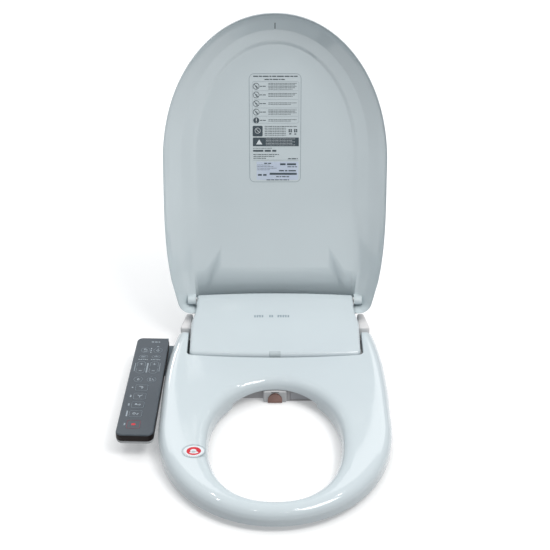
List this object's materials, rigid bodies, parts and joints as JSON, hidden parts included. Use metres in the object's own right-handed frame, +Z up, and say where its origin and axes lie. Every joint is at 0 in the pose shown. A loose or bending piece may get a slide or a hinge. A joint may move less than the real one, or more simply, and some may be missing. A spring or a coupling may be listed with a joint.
{
  "type": "electric bidet seat",
  "caption": "Electric bidet toilet seat with a raised open lid, heated ring seat, rear housing with sliding spray nozzle and a side control panel with press keys.",
  "frame": {"origin": "middle of the line between the two mounting slots, on the underside of the mounting plate, which stands on the bowl's rim", "axes": "+Z up, -Y towards the front of the seat, +X to the right seen from the front; the control panel is on the -X side"},
  "size_m": [0.4504, 0.6236, 0.588],
  "materials": {
    "white_shell": "glossy",
    "grey_plastic": "satin",
    "panel_film": "satin",
    "panel_white": "satin",
    "black_plastic": "satin",
    "steel": "brushed",
    "nozzle_steel": "satin",
    "heater_foil": "satin",
    "circuit_board": "satin",
    "buffer_rubber": "matte",
    "lens": "glossy"
  },
  "bodies": {
    "housing": {"lower_case": "white_shell", "rear_cover": "white_shell", "hinge_block_left": "grey_plastic", "hinge_block_right": "grey_plastic", "mounting_plate": "grey_plastic", "indicator_lens": "lens", "water_inlet": "steel", "cord_gland": "grey_plastic", "water_tank": "panel_white", "water_heater": "steel", "inlet_valve": "black_plastic", "flow_diverter": "black_plastic", "control_board": "circuit_board", "power_board": "circuit_board", "fan_housing": "black_plastic", "fan_motor": "steel", "dryer_duct": "black_plastic", "deodoriser_filter": "black_plastic", "nozzle_guide": "grey_plastic", "nozzle_motor": "steel", "lid_damper": "black_plastic", "seat_damper": "black_plastic", "panel_fascia": "panel_film", "panel_case": "panel_white", "panel_board": "circuit_board", "panel_arm": "panel_film"},
    "seat": {"seat_top_shell": "white_shell", "seat_bottom_shell": "panel_white", "seat_heater": "heater_foil", "seat_buffer_front_left": "buffer_rubber", "seat_buffer_front_right": "buffer_rubber", "seat_buffer_rear_left": "buffer_rubber", "seat_buffer_rear_right": "buffer_rubber", "seat_pin_left": "steel", "seat_pin_right": "steel"},
    "lid": {"lid_shell": "white_shell", "lid_pin_left": "steel", "lid_pin_right": "steel"},
    "nozzle": {"nozzle_barrel": "nozzle_steel", "nozzle_tip": "nozzle_steel"},
    "pinion": {"drive_pinion": "black_plastic"},
    "impeller": {"fan_impeller": "grey_plastic"},
    "flap": {"dryer_flap": "grey_plastic"},
    "release": {"release_button": "grey_plastic"},
    "key_wash": {"key_wash": "panel_film"},
    "key_bidet": {"key_bidet": "panel_film"},
    "key_dry": {"key_dry": "panel_film"},
    "key_mode": {"key_mode": "panel_film"},
    "key_water_up": {"key_water_up": "panel_film"},
    "key_water_down": {"key_water_down": "panel_film"},
    "key_heat_up": {"key_heat_up": "panel_film"},
    "key_heat_down": {"key_heat_down": "panel_film"},
    "key_turbo": {"key_turbo": "panel_film"},
    "key_child": {"key_child": "panel_film"},
    "key_seat": {"key_seat": "panel_film"},
    "key_power_save": {"key_power_save": "panel_film"},
    "key_clean": {"key_clean": "panel_film"},
    "key_night": {"key_night": "panel_film"},
    "key_stop": {"key_stop": "panel_film"}
  },
  "joints": [
    {"name": "seat_hinge", "type": "hinge", "parent": "housing", "child": "seat", "pos_m": [0, -0.034, 0.034], "axis": [-1, 0, 0], "range_deg": [0, 98]},
    {"name": "lid_hinge", "type": "hinge", "parent": "housing", "child": "lid", "pos_m": [0, 0.0297, 0.0772], "axis": [-1, 0, 0], "range_deg": [-104.36, 0]},
    {"name": "nozzle_slide", "type": "slide", "parent": "housing", "child": "nozzle", "axis": [0, -0.9816, -0.1908], "range_m": [0, 0.062]},
    {"name": "pinion_spin", "type": "hinge", "parent": "housing", "child": "pinion", "pos_m": [0, -0.04127, 0.05318], "axis": [-1, 0, 0], "range_deg": [-1, 593.06]},
    {"name": "impeller_spin", "type": "hinge", "parent": "housing", "child": "impeller", "pos_m": [0.072, 0.02, 0.012], "axis": [0, 0, 1], "continuous": true},
    {"name": "flap_hinge", "type": "hinge", "parent": "housing", "child": "flap", "pos_m": [0.026, -0.1668, 0.0182], "axis": [-1, 0, 0], "range_deg": [0, 70]},
    {"name": "release_press", "type": "slide", "parent": "housing", "child": "release", "axis": [-1, 0, 0], "range_m": [0, 0.0035], "stiffness_N_per_m": 400},
    {"name": "key_wash_press", "type": "slide", "parent": "housing", "child": "key_wash", "axis": [0, 0, -1], "range_m": [0, 0.0005], "stiffness_N_per_m": 600, "springref_m": -0.0002},
    {"name": "key_bidet_press", "type": "slide", "parent": "housing", "child": "key_bidet", "axis": [0, 0, -1], "range_m": [0, 0.0005], "stiffness_N_per_m": 600, "springref_m": -0.0002},
    {"name": "key_dry_press", "type": "slide", "parent": "housing", "child": "key_dry", "axis": [0, 0, -1], "range_m": [0, 0.0005], "stiffness_N_per_m": 600, "springref_m": -0.0002},
    {"name": "key_mode_press", "type": "slide", "parent": "housing", "child": "key_mode", "axis": [0, 0, -1], "range_m": [0, 0.0005], "stiffness_N_per_m": 600, "springref_m": -0.0002},
    {"name": "key_water_up_press", "type": "slide", "parent": "housing", "child": "key_water_up", "axis": [0, 0, -1], "range_m": [0, 0.0005], "stiffness_N_per_m": 600, "springref_m": -0.0002},
    {"name": "key_water_down_press", "type": "slide", "parent": "housing", "child": "key_water_down", "axis": [0, 0, -1], "range_m": [0, 0.0005], "stiffness_N_per_m": 600, "springref_m": -0.0002},
    {"name": "key_heat_up_press", "type": "slide", "parent": "housing", "child": "key_heat_up", "axis": [0, 0, -1], "range_m": [0, 0.0005], "stiffness_N_per_m": 600, "springref_m": -0.0002},
    {"name": "key_heat_down_press", "type": "slide", "parent": "housing", "child": "key_heat_down", "axis": [0, 0, -1], "range_m": [0, 0.0005], "stiffness_N_per_m": 600, "springref_m": -0.0002},
    {"name": "key_turbo_press", "type": "slide", "parent": "housing", "child": "key_turbo", "axis": [0, 0, -1], "range_m": [0, 0.0005], "stiffness_N_per_m": 600, "springref_m": -0.0002},
    {"name": "key_child_press", "type": "slide", "parent": "housing", "child": "key_child", "axis": [0, 0, -1], "range_m": [0, 0.0005], "stiffness_N_per_m": 600, "springref_m": -0.0002},
    {"name": "key_seat_press", "type": "slide", "parent": "housing", "child": "key_seat", "axis": [0, 0, -1], "range_m": [0, 0.0005], "stiffness_N_per_m": 600, "springref_m": -0.0002},
    {"name": "key_power_save_press", "type": "slide", "parent": "housing", "child": "key_power_save", "axis": [0, 0, -1], "range_m": [0, 0.0005], "stiffness_N_per_m": 600, "springref_m": -0.0002},
    {"name": "key_clean_press", "type": "slide", "parent": "housing", "child": "key_clean", "axis": [0, 0, -1], "range_m": [0, 0.0005], "stiffness_N_per_m": 600, "springref_m": -0.0002},
    {"name": "key_night_press", "type": "slide", "parent": "housing", "child": "key_night", "axis": [0, 0, -1], "range_m": [0, 0.0005], "stiffness_N_per_m": 600, "springref_m": -0.0002},
    {"name": "key_stop_press", "type": "slide", "parent": "housing", "child": "key_stop", "axis": [0, 0, -1], "range_m": [0, 0.0005], "stiffness_N_per_m": 600, "springref_m": -0.0002}
  ],
  "couplings": [
    {"joint": "pinion_spin", "follows": "nozzle_slide", "rad_per_m": 166.67}
  ]
}
